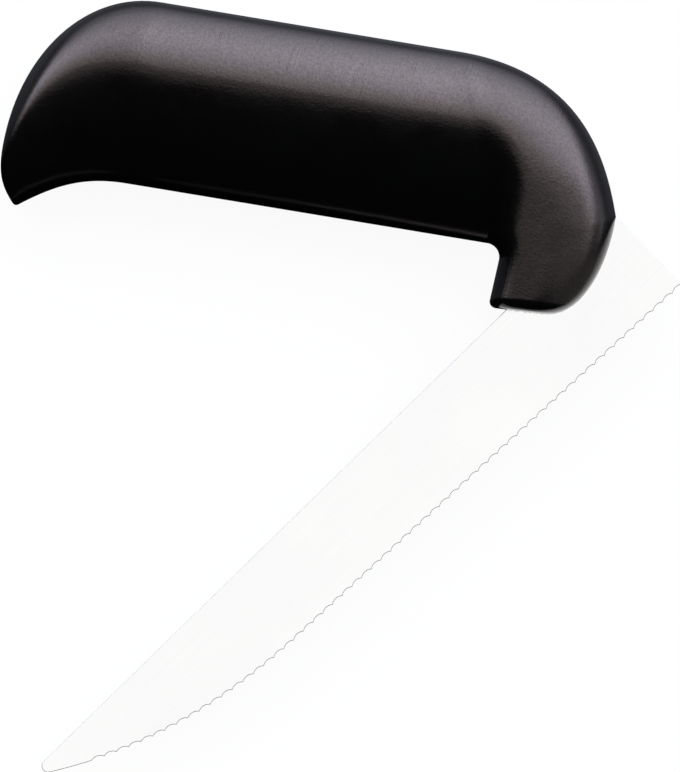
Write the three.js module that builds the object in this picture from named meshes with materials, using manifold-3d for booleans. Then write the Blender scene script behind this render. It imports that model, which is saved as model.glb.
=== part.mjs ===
// Serrated knife with its grip set at an angle to the blade, for a fist held upright.
// Millimetres, +Z up. The knife lies flat: X runs along the grip towards the leg that carries
// the blade, Y towards the palm side, Z through the thickness with the blade's mid-plane at zero.
import * as THREE from 'three';
import { mergeVertices } from 'three/addons/utils/BufferGeometryUtils.js';
import Module from 'manifold-3d';

const wasm = await Module();
wasm.setup();

// Grip
const gripDepth = 37.1; // palm side to finger side
const gripThickness = 24;
const fingerSpan = 97.4; // leg to the tip of the finger hook
const hookDrop = 8.2; // hook tip below the finger side
const hookRun = 21.4; // sweep of the hook into the finger side
const hookNose = 0.8; // radius of the hook's tip
const hookOuterAngle = 133; // direction of the end face as it leaves the tip
const hookInnerAngle = 37; // direction of the finger side as it leaves the tip
const endReach = 4.35; // the rounded end stands out this far beyond the hook tip
const endReachHeight = 2.7; // height of that widest point above the finger side
const endRound = 26.8; // the end's round, measured along the palm side

// Bend and leg
const legWidth = 22.3;
const legDrop = 12.1; // leg's end below the finger side
const taperAngle = 3.3; // by which the leg's face falls towards its end
const taperStart = 25; // height above the finger side at which that slope sets in
const taperFull = 12; // and where it is complete
const taperFrom = -30; // along the grip it comes in from here,
const taperTo = -8; // and is complete here
const bendRound = 36.5; // the bend's round, measured along the palm side
const cornerHeight = 9.4; // corner at the blade's heel, above the finger side
const bendBackAngle = -71.5; // direction of the bend's back at that corner
const innerFillet = 2.8; // between the finger side and the leg
const legLean = 0.5; // the leg's tip leans this far towards the fingers
const legTipDrop = 0.5; // and lies this far below the rest of the leg's end
const legTipRadius = 1.3; // corner of the leg nearest the fingers
const lipRound = 11; // how far the leg's end is rounded in from its back
const lipFillet = 2.5; // edge of the leg's end over the blade
const flowAngle = -80; // direction in which the leg's face flows past that corner
const flowPalmPull = 23.5; // how long the face's flow holds its direction along the palm side,
const flowCornerPull = 11; // before the corner,
const flowLegPull = 10; // after it
const flowLipPull = 7.5; // and at the leg's end
const flowReach = 5; // how close to the outline the face keeps that flow

// Cross-sections. The ridge is the highest line, counted from the finger side (0) to the palm side (1).
// A side of squareness 2 is an ellipse, and a higher one is flatter on top with a steeper wall.
const gripRidge = 0.64;
const hookRidge = 0.83; // the ridge drifts here towards the hook's tip
const legRidge = 4.5; // on the leg it keeps this distance from the finger side,
const legRidgeLimit = 0.5; // up to this share of the width
const gripSection = { fingerSide: 1.65, palmSide: 2.05 };
const cornerSection = { fingerSide: 2.3, palmSide: 2.4 };
const legSection = { fingerSide: 2.6, palmSide: 3.2 };
const hookSquareness = 2.3; // how bluntly the thickness falls away to the hook's tip
const bendFingerPace = 4; // the finger side goes round the inner fillet late in the bend,
const legFingerStart = 0.92; // and starts down the leg at this share of an even pace

// How long the outline's rounds hold their direction, as a share of their run
const ovalFullness = 0.57;
const hookFullness = 0.4;
const bendPalmFullness = 0.68;
const bendBackFullness = 0.45;

// Shell construction
const wall = 2.8;
const seam = 0.3; // gap between the two halves
const rimChamfer = 0.25; // along that gap, outside
const rimChamferShare = 0.125; // or this share of the width where the handle is thinner
const tongueWidth = 0.8; // weld tongue along the front half's rim
const tongueHeight = 1.2;
const ribThickness = 2;
const ribPitch = 18;
const ribCount = 4;
const ribRecess = 0.6; // ribs stop this far short of the half's rim
const bossRadius = 4.2;
const pegRadius = 2;
const pegLength = 4;
const pegSpacing = 36; // along the grip, one on each side of its middle
const hollowToLeg = 17; // solid plastic left between the hollow and the leg's inner face
const hollowStart = 18; // the hollow begins where the hook is this deep

// Blade
const bladeAngle = 53.7; // spine to grip
const bladeThickness = 1.5;
const bladeLength = 160.3;
const heelWidth = 21.1;
const bellyLength = 55.3; // the edge curves up over this much of the blade
const bellyWidth = 17.8; // blade width where it starts to
const bellyPull = 25; // how long the edge holds its line before it curves up to the tip
const tipPull = 15.3; // how long the edge runs straight into the tip
const tipAngle = 31; // edge to spine at the tip
const tipRadius = 1.3;
const heelInset = 1.6; // where spine and heel meet, in from the leg's back
const heelRise = 1.3; // and above the bend's corner
const toothPitch = 2.65;
const toothDepth = 0.5;
const plainTip = 8; // edge left without teeth at the tip
const grindAngle = 20; // hollow grind of the teeth to the blade's flat, on the rear face
const grindLimit = 0.55; // share of the blade's width that the grind may take near the tip

// Tang and its dowels
const tangStart = 2; // from the heel
const tangWidth = 16;
const tangRise = 24; // beyond the spine
const tangCorner = 4;
const pinRadius = 2;
const pinCover = 4.8; // each end of a pin below the grip's face
const pinChamfer = 0.5;
const pinSpacing = 11;
const pinOffset = 7; // first pin from the spine
const fit = 0.3; // clearance around the tang, the blade and the dowels

// Bare rectangle on both flats of the blade, as shares of the straight edge and of the belly's width
const landing = { start: 0.4, end: 0.9, top: 0.25, bottom: 0.65 };

const bendStartWidth = Math.hypot(gripDepth, bendRound - legWidth + legLean - innerFillet);
const pinLength = gripThickness - 2 * pinCover;
const straightEdge = bladeLength - bellyLength;
const toothSteps = 6;
const plainSteps = 5;
const sectionSteps = 18;
const roundSteps = 24;
const tipSteps = 8;
const cornerSteps = 5;
const stretchSteps = { end: 20, grip: 6, bend: 18, leg: 16 };
const endCrowding = 1.6; // steps stand closer together towards the hook's tip
const legCrowding = 1.5; // and towards the leg's end
const sameSpot = 1e-4;

const point = (x, y) => new THREE.Vector2(x, y);
const heading = (degrees) => {
  const angle = THREE.MathUtils.degToRad(degrees);
  return point(Math.cos(angle), Math.sin(angle));
};
const along = (from, direction, distance) => from.clone().addScaledVector(direction, distance);

// Solids

function toManifold(geometry) {
  const bare = geometry.clone();
  bare.deleteAttribute('normal');
  bare.deleteAttribute('uv');
  const merged = mergeVertices(bare, sameSpot);
  const mesh = new wasm.Mesh({
    numProp: 3,
    vertProperties: new Float32Array(merged.attributes.position.array),
    triVerts: new Uint32Array(merged.index.array),
  });
  return new wasm.Manifold(mesh);
}

function toGeometry(manifold) {
  const mesh = manifold.getMesh();
  return indexedGeometry(mesh.vertProperties, mesh.triVerts);
}

function indexedGeometry(positions, triangles) {
  const geometry = new THREE.BufferGeometry();
  geometry.setAttribute('position', new THREE.Float32BufferAttribute(positions, 3));
  geometry.setIndex(Array.from(triangles));
  return geometry;
}

// Prism of a closed outline between two heights
function prism(outline, bottom, top) {
  const shape = new THREE.Shape(outline);
  const geometry = new THREE.ExtrudeGeometry(shape, { depth: top - bottom, bevelEnabled: false });
  return geometry.translate(0, 0, bottom);
}

function upright(radius, bottom, top, x, y) {
  const geometry = new THREE.CylinderGeometry(radius, radius, top - bottom, roundSteps);
  return geometry.rotateX(Math.PI / 2).translate(x, y, (bottom + top) / 2);
}

// Skin over a row of open sections of equal length. Each section's ends are joined by a flat base.
// A first section of one point closes the skin to that point.
function loft(sections) {
  const positions = [];
  const starts = [];
  for (const section of sections) {
    starts.push(positions.length / 3);
    for (const p of section) positions.push(p.x, p.y, p.z);
  }
  const count = sections[1].length;
  const triangles = [];
  for (let i = 0; i + 1 < sections.length; i++) {
    for (let k = 0; k < count; k++) {
      const next = (k + 1) % count;
      const a = starts[i + 1] + k;
      const b = starts[i + 1] + next;
      if (sections[i].length === 1) {
        triangles.push(starts[i], a, b);
      } else {
        triangles.push(starts[i] + k, a, b, starts[i] + k, b, starts[i] + next);
      }
    }
  }
  for (let k = 1; k + 1 < count; k++) {
    const last = starts[starts.length - 1];
    triangles.push(last, last + k + 1, last + k);
    if (sections[0].length > 1) triangles.push(starts[0], starts[0] + k, starts[0] + k + 1);
  }
  return indexedGeometry(positions, triangles);
}

// The same solid on the other side of the blade's mid-plane
function mirrored(geometry) {
  const copy = geometry.clone().scale(1, 1, -1);
  const index = copy.index.array;
  for (let i = 0; i < index.length; i += 3) {
    const kept = index[i];
    index[i] = index[i + 1];
    index[i + 1] = kept;
  }
  return copy;
}

// Handle

function join(...curves) {
  const path = new THREE.CurvePath();
  for (const curve of curves) path.add(curve);
  return path;
}

function arc(center, radius, fromDegrees, toDegrees) {
  const from = THREE.MathUtils.degToRad(fromDegrees);
  const to = THREE.MathUtils.degToRad(toDegrees);
  return new THREE.EllipseCurve(center.x, center.y, radius, radius, from, to, to < from);
}

// Round from one direction to another, with how long each end holds its direction
function roundOff(from, fromHeading, to, toHeading, fromPull, toPull) {
  const first = along(from, fromHeading, fromPull);
  const second = along(to, toHeading, -toPull);
  return new THREE.CubicBezierCurve(from, first, second, to);
}

// The handle's outline as two rails from the hook tip to the leg's end, in four stretches:
// hooked end, straight grip, bend, leg. The palm rail goes round the outside, the finger rail inside.
// The flow rail is the palm rail without its corner at the blade's heel, for the face between them.
function handleRails() {
  const hookTip = point(-fingerSpan, -hookDrop);
  const outerOut = heading(hookOuterAngle);
  const innerOut = heading(hookInnerAngle);
  const halfOpening = THREE.MathUtils.degToRad(hookOuterAngle - hookInnerAngle) / 2;
  const noseInset = hookNose / Math.tan(halfOpening);
  const middle = (hookOuterAngle + hookInnerAngle) / 2;
  const noseCenter = along(hookTip, heading(middle), hookNose / Math.sin(halfOpening));
  const outerStart = along(hookTip, outerOut, noseInset);
  const innerStart = along(hookTip, innerOut, noseInset);

  const level = point(1, 0);
  const up = point(0, 1);
  const down = point(0, -1);
  const back = point(-1, 0);
  const widest = point(-fingerSpan - endReach, endReachHeight);
  const palmStart = point(widest.x + endRound, gripDepth);
  const palmEnd = point(legWidth - bendRound, gripDepth);
  const fingerStart = point(-fingerSpan + hookRun, 0);
  const filletCenter = point(legLean - innerFillet, -innerFillet);
  const fingerEnd = point(filletCenter.x, 0);
  const corner = point(legWidth, cornerHeight);
  const palmPull = bendRound * bendPalmFullness;
  const backPull = (gripDepth - cornerHeight) * bendBackFullness;
  const lipDrop = cornerHeight + legDrop;
  const lipEnd = point(legWidth - lipRound, -legDrop);
  const legTip = point(0, legTipRadius - legDrop - legTipDrop);
  const hookRise = hookDrop + endReachHeight;
  const endRise = gripDepth - endReachHeight;

  const palmRail = {
    end: join(
      arc(noseCenter, hookNose, middle - 180, hookOuterAngle - 270),
      roundOff(outerStart, outerOut, widest, up, hookRise * hookFullness, hookRise * hookFullness),
      roundOff(widest, up, palmStart, level, endRise * ovalFullness, endRound * ovalFullness)
    ),
    grip: new THREE.LineCurve(palmStart, palmEnd),
    bend: roundOff(palmEnd, level, corner, heading(bendBackAngle), palmPull, backPull),
    leg: roundOff(corner, down, lipEnd, back, lipDrop * ovalFullness, lipRound * ovalFullness),
  };
  const flow = heading(flowAngle);
  const flowRail = {
    ...palmRail,
    bend: roundOff(palmEnd, level, corner, flow, flowPalmPull, flowCornerPull),
    leg: roundOff(corner, flow, lipEnd, back, flowLegPull, flowLipPull),
  };
  const fingerRail = {
    end: join(
      arc(noseCenter, hookNose, middle - 180, hookInnerAngle - 90),
      roundOff(innerStart, innerOut, fingerStart, level, hookRun * hookFullness, hookRun * hookFullness)
    ),
    grip: new THREE.LineCurve(fingerStart, fingerEnd),
    bend: arc(filletCenter, innerFillet, 90, 0),
    leg: join(
      new THREE.LineCurve(point(legLean, -innerFillet), legTip),
      arc(point(legTipRadius, legTip.y), legTipRadius, 180, 270)
    ),
  };
  return { palmRail, flowRail, fingerRail };
}

function blendSections(from, to, t) {
  const share = THREE.MathUtils.smoothstep(t, 0, 1);
  const blended = {};
  for (const key of Object.keys(from)) blended[key] = THREE.MathUtils.lerp(from[key], to[key], share);
  return blended;
}

// Section at a share of one stretch, with its half height before the leg's taper
function sectionShape(stretch, t, width) {
  const height = gripThickness / 2;
  const { lerp, smoothstep } = THREE.MathUtils;
  if (stretch === 'end') {
    const rise = (1 - (1 - t) ** hookSquareness) ** (1 / hookSquareness);
    return { ...gripSection, ridge: lerp(hookRidge, gripRidge, t), height: height * rise };
  }
  if (stretch === 'bend') {
    const ridge = lerp(gripRidge * bendStartWidth, legRidge, smoothstep(t, 0, 1)) / width;
    return { ...blendSections(gripSection, cornerSection, t), ridge, height };
  }
  if (stretch === 'leg') {
    const ridge = Math.min(legRidge / width, legRidgeLimit);
    return { ...blendSections(cornerSection, legSection, t), ridge, height };
  }
  return { ...gripSection, ridge: gripRidge, height };
}

// Share of the height that is left where the leg's face slopes down to its end
function legTaper(spot) {
  const below = Math.max(taperStart - spot.y, 0);
  const ramp = taperStart - taperFull;
  const run = below < ramp ? below ** 2 / (2 * ramp) : below - ramp / 2;
  const share = THREE.MathUtils.smoothstep(spot.x, taperFrom, taperTo);
  return 1 - Math.tan(THREE.MathUtils.degToRad(taperAngle)) * run * share / (gripThickness / 2);
}

function stretchShare(stretch, even) {
  if (stretch === 'end') return even ** endCrowding;
  if (stretch === 'leg') return 1 - (1 - even) ** legCrowding;
  return even;
}

// How far along its rail the finger side is, at a share of the palm side
function fingerShare(stretch, t) {
  if (stretch === 'bend') return t ** bendFingerPace;
  if (stretch === 'leg') return legFingerStart * t + (1 - legFingerStart) * t ** 2;
  return t;
}

// Stations from the hook tip to the leg's end, each a chord from the finger rail to the palm rail
function handleStations() {
  const { palmRail, flowRail, fingerRail } = handleRails();
  const stations = [];
  for (const [stretch, count] of Object.entries(stretchSteps)) {
    for (let i = stations.length === 0 ? 0 : 1; i <= count; i++) {
      const t = stretchShare(stretch, i / count);
      const palm = palmRail[stretch].getPointAt(t);
      const flow = flowRail[stretch].getPointAt(t);
      const finger = fingerRail[stretch].getPointAt(fingerShare(stretch, t));
      const station = { palm, flow, finger, ...sectionShape(stretch, t, palm.distanceTo(finger)) };
      const toEnd = (palm.y + finger.y + legTipDrop) / 2 + legDrop;
      if (stretch === 'leg' && toEnd < lipFillet) {
        const short = lipFillet - Math.max(toEnd, 0);
        station.height -= lipFillet - Math.sqrt(lipFillet ** 2 - short ** 2);
      }
      stations.push(station);
    }
  }
  return stations;
}

// Points over one station's chord, from the finger side over the ridge to the palm side
function handleSection(station, base) {
  const { palm, flow, finger } = station;
  if (palm.distanceTo(finger) < sameSpot) return [new THREE.Vector3(palm.x, palm.y, base)];
  const points = [];
  for (let k = 0; k <= sectionSteps; k++) {
    const angle = Math.PI * k / sectionSteps;
    const fingerHalf = 2 * k < sectionSteps;
    const power = 2 / (fingerHalf ? station.fingerSide : station.palmSide);
    const away = Math.abs(Math.cos(angle)) ** power;
    const rise = k === 0 || k === sectionSteps ? 0 : Math.sin(angle) ** power;
    const share = fingerHalf ? station.ridge * (1 - away) : station.ridge + (1 - station.ridge) * away;
    const outer = flow.clone().lerp(palm, share ** flowReach);
    const spot = finger.clone().lerp(outer, share);
    const height = (station.height - base) * rise * legTaper(spot);
    points.push(new THREE.Vector3(spot.x, spot.y, base + height));
  }
  return points;
}

// The same section with its two lower edges chamfered
function rimChamfered(section) {
  if (section.length === 1) return section;
  const first = section[0];
  const last = section[section.length - 1];
  const width = first.distanceTo(last);
  const cut = Math.min(rimChamfer, width * rimChamferShare);
  const lower = [first.clone().lerp(last, cut / width), last.clone().lerp(first, cut / width)];
  first.z += cut;
  last.z += cut;
  return [lower[0], ...section, lower[1]];
}

// A station with both its ends drawn in, square to the rails, by a distance
function drawnIn(stations, i, distance) {
  const station = stations[i];
  const across = station.palm.clone().sub(station.finger).normalize();
  const step = (rail) => {
    const run = stations[i + 1][rail].clone().sub(stations[i - 1][rail]).normalize();
    return distance / Math.abs(run.cross(across));
  };
  const finger = along(station.finger, across, step('finger'));
  const palm = along(station.palm, across, -step('palm'));
  return { ...station, finger, palm, flow: palm };
}

// Which stations the hollow spans, from inside the hook to short of the leg
function hollowSpan(stations) {
  const span = [];
  stations.forEach((station, i) => {
    const depth = station.palm.distanceTo(station.finger);
    const beyondEnd = Math.max(station.palm.x, station.finger.x) > -hollowToLeg - wall;
    if (depth > hollowStart && !beyondEnd) span.push(i);
  });
  return span;
}

// The hollow's own stations, one wall in from the outside and ending square before the leg
function hollowStations(stations) {
  const inner = hollowSpan(stations).map((i) => {
    const station = drawnIn(stations, i, wall);
    return { ...station, height: station.height - wall };
  });
  const last = inner[inner.length - 1];
  const finger = point(-hollowToLeg, wall);
  const palm = point(-hollowToLeg, gripDepth - wall);
  return [...inner, { ...last, finger, palm, flow: palm }];
}

// Strips along the two rims, for the weld tongue and the groove that takes it. On the palm side they
// stop short of the blade's heel, on the finger side short of its spine.
function rimStrips(stations, clearance) {
  const near = (wall - tongueWidth) / 2 - clearance;
  const far = (wall + tongueWidth) / 2 + clearance;
  const bottom = -tongueHeight - clearance;
  const top = seam;
  const clearOfBlade = {
    palm: ({ palm }) => palm.x < 0 || palm.y > cornerHeight + heelRise + wall,
    finger: ({ finger }) => finger.x < 0 || finger.y > legTipRadius + wall - legDrop,
  };
  let strips = null;
  for (const rail of ['finger', 'palm']) {
    const sections = [];
    stations.forEach((station, i) => {
      const depth = station.palm.distanceTo(station.finger);
      if (depth < 2 * wall || !clearOfBlade[rail](station)) return;
      const ends = [drawnIn(stations, i, near)[rail], drawnIn(stations, i, far)[rail]];
      if (rail === 'palm') ends.reverse();
      const [a, b] = ends;
      const corners = [[a, bottom], [a, top], [b, top], [b, bottom]];
      sections.push(corners.map(([spot, z]) => new THREE.Vector3(spot.x, spot.y, z)));
    });
    const strip = toManifold(loft(sections));
    strips = strips ? strips.add(strip) : strip;
  }
  return strips;
}

function hollow(stations) {
  const kept = hollowStations(stations);
  const below = -wall;
  const sections = kept.map((station) => handleSection(station, seam / 2));
  for (const section of sections) {
    section[0].z = below;
    section[section.length - 1].z = below;
  }
  let solid = toManifold(loft(sections));
  const gripMiddle = (kept[0].finger.x - hollowToLeg) / 2;
  const ribTop = gripThickness;
  const ribBottom = seam / 2 + ribRecess;
  for (let i = 0; i < ribCount; i++) {
    const x = gripMiddle + (i - (ribCount - 1) / 2) * ribPitch;
    const rib = new THREE.BoxGeometry(ribThickness, 2 * gripDepth, ribTop - ribBottom);
    rib.translate(x, gripDepth / 2, (ribTop + ribBottom) / 2);
    solid = solid.subtract(toManifold(rib));
  }
  for (const spot of pegSpots(gripMiddle)) {
    const boss = upright(bossRadius, seam / 2, gripThickness, spot.x, spot.y);
    solid = solid.subtract(toManifold(boss));
  }
  return { solid, gripMiddle };
}

function pegSpots(gripMiddle) {
  return [-1, 1].map((side) => point(gripMiddle + side * pegSpacing / 2, gripDepth / 2));
}

// Blade, in its own frame: X from heel to tip along the spine, Y from spine to edge

const tipCenter = point(bladeLength - tipRadius, tipRadius);

function edgeCurve() {
  const start = point(0, heelWidth);
  const bend = point(straightEdge, bellyWidth);
  const tip = along(tipCenter, heading(90 - tipAngle), tipRadius);
  const run = bend.clone().sub(start).normalize();
  const belly = roundOff(bend, run, tip, heading(-tipAngle), bellyPull, tipPull);
  return join(new THREE.LineCurve(start, bend), belly);
}

// Hollow of one scallop at a share of its length: an arc as deep as the tooth
function scallop(share) {
  const half = toothPitch / 2;
  const radius = (half ** 2 + toothDepth ** 2) / (2 * toothDepth);
  const off = (share - 0.5) * toothPitch;
  return Math.sqrt(radius ** 2 - off ** 2) - (radius - toothDepth);
}

// Edge points from heel to tip on the front face, and where the grind leaves the rear face
function edgePoints() {
  const curve = edgeCurve();
  const length = curve.getLength();
  const grind = bladeThickness / Math.tan(THREE.MathUtils.degToRad(grindAngle));
  const teeth = Math.floor((length - plainTip) / toothPitch);
  const places = [];
  for (let i = 0; i <= teeth * toothSteps; i++) {
    places.push({ distance: i * toothPitch / toothSteps, inset: scallop((i % toothSteps) / toothSteps) });
  }
  const plainStart = teeth * toothPitch;
  for (let i = 1; i <= plainSteps; i++) {
    places.push({ distance: plainStart + (length - plainStart) * i / plainSteps, inset: 0 });
  }
  const front = [];
  const rear = [];
  for (const { distance, inset } of places) {
    const u = Math.min(distance / length, 1);
    const spot = curve.getPointAt(u);
    const tangent = curve.getTangentAt(u);
    const inward = point(tangent.y, -tangent.x);
    const edge = along(spot, inward, inset);
    edge.x = Math.max(edge.x, 0);
    const ground = along(edge, inward, Math.min(grind, grindLimit * spot.y));
    ground.x = Math.max(ground.x, 0);
    front.push(edge);
    rear.push(ground);
  }
  return { front, rear };
}

// Tang beyond the spine, grown by a clearance for the pocket that takes it
function tangOutline(grow) {
  const left = tangStart - grow;
  const right = tangStart + tangWidth + grow;
  const top = -tangRise - grow;
  const radius = tangCorner + grow;
  const path = new THREE.Path();
  path.moveTo(left, -grow);
  path.lineTo(left, top + radius);
  path.absarc(left + radius, top + radius, radius, Math.PI, 1.5 * Math.PI, false);
  path.lineTo(right - radius, top);
  path.absarc(right - radius, top + radius, radius, 1.5 * Math.PI, 2 * Math.PI, false);
  path.lineTo(right, -grow);
  return path.getPoints(cornerSteps);
}

function pinSpots() {
  const middle = tangStart + tangWidth / 2;
  return [point(middle, -pinOffset), point(middle, -pinOffset - pinSpacing)];
}

function pinHole(center) {
  const hole = new THREE.Path().absarc(center.x, center.y, pinRadius + fit, 0, 2 * Math.PI, true);
  return hole.getPoints(roundSteps / 2).slice(0, -1);
}

// Flat plate whose front and rear outlines have the same count of points
function plate(front, rear, holes, bare) {
  const half = bladeThickness / 2;
  const positions = [];
  const triangles = [];
  const rings = [front, ...holes, bare];
  const total = rings.reduce((sum, ring) => sum + ring.length, 0);
  for (const [rim, z] of [[front, half], [rear, -half]]) {
    for (const ring of [rim, ...holes, bare]) {
      for (const p of ring) positions.push(p.x, p.y, z);
    }
  }
  const faces = (rim) => THREE.ShapeUtils.triangulateShape(rim, [...holes, bare]);
  for (const [a, b, c] of faces(front)) triangles.push(a, b, c);
  for (const [a, b, c] of faces(rear)) triangles.push(total + a, total + c, total + b);
  const flat = total - bare.length;
  triangles.push(flat, flat + 2, flat + 1, flat, flat + 3, flat + 2);
  triangles.push(total + flat, total + flat + 1, total + flat + 2);
  triangles.push(total + flat, total + flat + 2, total + flat + 3);
  let start = 0;
  for (const ring of [front, ...holes]) {
    for (let i = 0; i < ring.length; i++) {
      const a = start + i;
      const b = start + (i + 1) % ring.length;
      triangles.push(a, total + a, total + b, a, total + b, b);
    }
    start += ring.length;
  }
  return indexedGeometry(positions, triangles);
}

function bladeGeometry() {
  const { front, rear } = edgePoints();
  const tipRound = arc(tipCenter, tipRadius, -90, 90 - tipAngle);
  const back = [point(0, 0), ...tangOutline(0), ...tipRound.getPoints(tipSteps).slice(0, -1)];
  const holes = pinSpots().map(pinHole);
  const bare = [
    point(straightEdge * landing.start, bellyWidth * landing.top),
    point(straightEdge * landing.start, bellyWidth * landing.bottom),
    point(straightEdge * landing.end, bellyWidth * landing.bottom),
    point(straightEdge * landing.end, bellyWidth * landing.top),
  ];
  return plate([...back, ...front.reverse()], [...back, ...rear.reverse()], holes, bare);
}

// Pocket that both halves leave for blade and tang
function bladePocket() {
  const beyondLeg = legDrop + legWidth + tangRise;
  const outline = [
    point(-fit, heelWidth),
    point(-fit, -fit),
    ...tangOutline(fit),
    point(beyondLeg, -fit),
    point(beyondLeg, heelWidth),
  ];
  return prism(outline, -bladeThickness / 2 - fit, bladeThickness / 2 + fit);
}

function pinGeometry() {
  const half = pinLength / 2;
  const profile = [
    point(0, -half),
    point(pinRadius - pinChamfer, -half),
    point(pinRadius, pinChamfer - half),
    point(pinRadius, half - pinChamfer),
    point(pinRadius - pinChamfer, half),
    point(0, half),
  ];
  return new THREE.LatheGeometry(profile, roundSteps).rotateX(Math.PI / 2);
}

// Assembly

const blackPlastic = { color: 0x1d1b1c, roughness: 0.5, metalness: 0 };
const stainless = { color: 0xd4d6d8, roughness: 0.28, metalness: 1 };
const dowelSteel = { color: 0xa9abad, roughness: 0.35, metalness: 1 };

function piece(name, geometry, finish) {
  geometry.computeVertexNormals();
  const mesh = new THREE.Mesh(geometry, new THREE.MeshStandardMaterial(finish));
  mesh.name = name;
  return mesh;
}

const bladeGroup = new THREE.Group();
bladeGroup.position.set(legWidth - heelInset, cornerHeight + heelRise, 0);
bladeGroup.rotation.z = THREE.MathUtils.degToRad(180 + bladeAngle);
bladeGroup.updateMatrix();
bladeGroup.add(piece('blade', bladeGeometry(), stainless));
const pinNames = ['tang_pin_lower', 'tang_pin_upper'];
pinSpots().forEach((spot, i) => {
  const pin = piece(pinNames[i], pinGeometry(), dowelSteel);
  pin.position.set(spot.x, spot.y, 0);
  bladeGroup.add(pin);
});

// Everything in the leg and bend that both halves leave open for the blade
function tangCuts() {
  const placed = (geometry) => toManifold(geometry.applyMatrix4(bladeGroup.matrix));
  let cuts = placed(bladePocket());
  const reach = pinLength / 2 + fit;
  for (const spot of pinSpots()) {
    cuts = cuts.add(placed(upright(pinRadius + fit, -reach, reach, spot.x, spot.y)));
  }
  return cuts;
}

function handleHalves() {
  const stations = handleStations();
  const body = loft(stations.map((station) => rimChamfered(handleSection(station, seam / 2))));
  const { solid, gripMiddle } = hollow(stations);
  const half = toGeometry(toManifold(body).subtract(solid));
  const cuts = tangCuts();
  let front = toManifold(half).subtract(cuts).add(rimStrips(stations, 0));
  let rear = toManifold(mirrored(half)).subtract(cuts).subtract(rimStrips(stations, fit));
  for (const spot of pegSpots(gripMiddle)) {
    const root = gripThickness / 2 - wall;
    front = front.add(toManifold(upright(pegRadius, -pegLength, root, spot.x, spot.y)));
    const socketDepth = pegLength + fit;
    rear = rear.subtract(toManifold(upright(pegRadius + fit, -socketDepth, wall, spot.x, spot.y)));
  }
  return { front: toGeometry(front), rear: toGeometry(rear) };
}

const { front, rear } = handleHalves();
const knife = new THREE.Group();
knife.add(bladeGroup);
knife.add(piece('handle_front_shell', front, blackPlastic));
knife.add(piece('handle_rear_shell', rear, blackPlastic));

// The origin is under the middle of the knife as it lies
const extent = new THREE.Box3().setFromObject(knife, true);
const middle = extent.getCenter(new THREE.Vector3());
knife.position.set(-middle.x, -middle.y, -extent.min.z);
const lying = new THREE.Group();
lying.add(knife);

export default lying;
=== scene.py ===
import math

import bmesh
import bpy
from mathutils import Matrix, Vector
from mathutils.geometry import interpolate_bezier


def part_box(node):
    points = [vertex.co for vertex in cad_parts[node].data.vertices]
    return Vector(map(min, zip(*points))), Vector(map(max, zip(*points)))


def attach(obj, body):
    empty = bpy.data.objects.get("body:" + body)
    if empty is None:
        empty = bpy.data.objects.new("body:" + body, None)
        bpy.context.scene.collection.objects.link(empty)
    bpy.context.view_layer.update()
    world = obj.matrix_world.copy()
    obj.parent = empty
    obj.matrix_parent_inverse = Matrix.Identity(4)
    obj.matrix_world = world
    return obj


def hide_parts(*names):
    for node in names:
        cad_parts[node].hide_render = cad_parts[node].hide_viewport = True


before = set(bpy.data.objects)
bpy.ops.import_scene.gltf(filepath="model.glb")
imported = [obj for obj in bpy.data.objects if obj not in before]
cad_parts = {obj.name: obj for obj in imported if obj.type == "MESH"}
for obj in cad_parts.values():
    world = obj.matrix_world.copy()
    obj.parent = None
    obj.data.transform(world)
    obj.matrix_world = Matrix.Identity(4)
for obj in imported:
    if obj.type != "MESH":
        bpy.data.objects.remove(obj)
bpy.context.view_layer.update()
mm = 0.001
print("frame: nodes", ", ".join(sorted(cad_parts)))


# camera straight down on the blade's flat, turned so that the grip slopes as in the photograph
shot = {
    "turn": 9.4,  # degrees
    "center": (5.1, 8.0),  # mm, what the middle of the picture looks at
    "height": 155.4,  # mm of the blade's plane from top to bottom of the picture
    "level": 12.0,  # mm, the blade's plane above the floor
    "distance": 1500.0,  # mm, long lens
    "sensor": 36.0,  # mm
    "clipEnd": 100.0,  # m
}
cameraData = bpy.data.cameras.new("camera")
cameraData.sensor_width = shot["sensor"]
cameraData.lens = shot["sensor"] * shot["distance"] / shot["height"]
cameraData.clip_end = shot["clipEnd"]
camera = bpy.data.objects.new("camera", cameraData)
camera.location = Vector((*shot["center"], shot["level"] + shot["distance"])) * mm
camera.rotation_euler = (0, 0, math.radians(shot["turn"]))
bpy.context.scene.collection.objects.link(camera)
bpy.context.scene.camera = camera
print("camera: lens", round(cameraData.lens), "mm")


# plane geometry shared by the handle and the blade, in millimetres
samePoint = 1e-5  # points of an outline that are closer than this count as one
weldDistance = 1e-4
softAngle = 35.0  # degrees, a moulded edge that turns less is shaded smooth


def heading(degrees):
    return Vector((math.cos(math.radians(degrees)), math.sin(math.radians(degrees))))


def arcPoints(center, radius, start, end, steps=24):
    turn = (end - start) / steps
    return [center + heading(start + turn * i) * radius for i in range(steps + 1)]


def roundOff(start, startHeading, end, endHeading, startPull, endPull, steps=160):
    return interpolate_bezier(
        start, start + startHeading * startPull, end - endHeading * endPull, end, steps
    )


# gives the point, and the direction there, at any share of a polyline's length
def measured(points):
    kept = [points[0]]
    for spot in points[1:]:
        if (spot - kept[-1]).length > samePoint:
            kept.append(spot)
    lengths = [0.0]
    for a, b in zip(kept, kept[1:]):
        lengths.append(lengths[-1] + (b - a).length)

    def at(share):
        target = share * lengths[-1]
        low, high = 0, len(lengths) - 2
        while low < high:
            middle = (low + high + 1) // 2
            if lengths[middle] <= target:
                low = middle
            else:
                high = middle - 1
        run = (kept[low + 1] - kept[low]) / (lengths[low + 1] - lengths[low])
        return kept[low] + run * (target - lengths[low]), run.normalized()

    return at, lengths[-1]


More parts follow.
